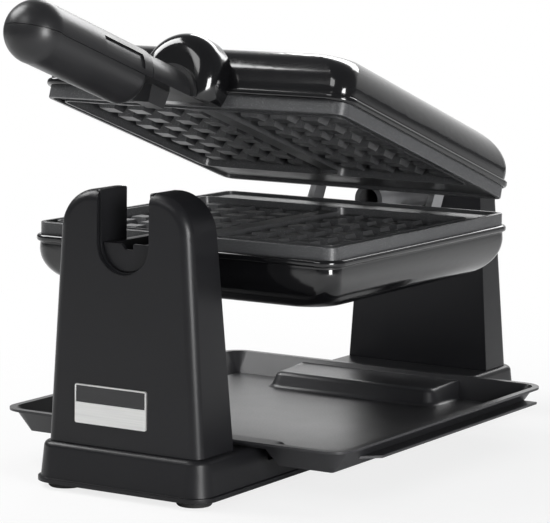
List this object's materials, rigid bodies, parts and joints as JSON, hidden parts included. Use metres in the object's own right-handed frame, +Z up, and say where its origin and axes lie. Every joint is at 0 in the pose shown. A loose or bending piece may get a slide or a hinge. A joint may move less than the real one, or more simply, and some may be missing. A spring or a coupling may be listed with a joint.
{
  "type": "rotating waffle maker",
  "caption": "Rotating waffle maker: two hinged irons with block grid plates turn together between upright posts on a bar base, with a ball-ended handle and a drip tray below.",
  "frame": {"origin": "on the floor, below the middle of the whole machine's bounding box as it stands with the upper iron open", "axes": "+X across the machine to the right, +Y from the handle to the rear post, +Z up"},
  "size_m": [0.2584, 0.5323, 0.3077],
  "materials": {
    "satin_plastic": "satin charcoal black",
    "gloss_shell": "high gloss black",
    "coated_plate": "dark grey non-stick coating, cast",
    "tray_metal": "satin black enamel",
    "bright_metal": "brushed",
    "dark_panel": "gloss black, bare",
    "steel": "zinc plated",
    "rubber": "matte",
    "switch_body": "moulded resin"
  },
  "bodies": {
    "stand": {"base_bar": "satin_plastic", "bottom_cover": "satin_plastic", "cord_inlet_grommet": "satin_plastic", "cover_screws": "steel", "foot_front_left": "rubber", "foot_front_right": "rubber", "foot_rear_left": "rubber", "foot_rear_right": "rubber", "front_notch_liner": "satin_plastic", "front_post": "satin_plastic", "nameplate": "bright_metal", "nameplate_dark_panel": "dark_panel", "rear_bearing_bush": "satin_plastic", "rear_post": "satin_plastic"},
    "lower_iron": {"lower_heat_reflector": "bright_metal", "lower_heating_element": "bright_metal", "lower_hinge_bracket": "steel", "lower_journal_half": "satin_plastic", "lower_reflector_nuts": "steel", "lower_shell": "gloss_shell", "lower_thermostat": "switch_body", "lower_waffle_plate": "coated_plate", "hinge_pin": "steel", "rear_axle_tube": "steel", "axle_retaining_clip": "steel", "hinge_bracket_screws": "steel"},
    "upper_iron": {"handle_lower_cap": "gloss_shell", "handle_lower_grip": "satin_plastic", "handle_neck_and_upper_grip": "satin_plastic", "handle_upper_cap": "gloss_shell", "upper_heat_reflector": "bright_metal", "upper_heating_element": "bright_metal", "upper_hinge_bracket": "steel", "upper_reflector_nuts": "steel", "upper_shell": "gloss_shell", "upper_thermostat": "switch_body", "upper_waffle_plate": "coated_plate"},
    "tray": {"drip_tray": "tray_metal"}
  },
  "joints": [
    {"name": "iron_turn", "type": "hinge", "parent": "stand", "child": "lower_iron", "pos_m": [0, 0.04936, 0.157], "axis": [0, 1, 0], "range_deg": [0, 90]},
    {"name": "upper_iron_open", "type": "hinge", "parent": "lower_iron", "child": "upper_iron", "pos_m": [0, 0.16136, 0.1715], "axis": [-1, 0, 0], "range_deg": [-18, 80]},
    {"name": "tray_lift", "type": "slide", "parent": "stand", "child": "tray", "axis": [0, 0, 1], "range_m": [0, 0.004]}
  ]
}
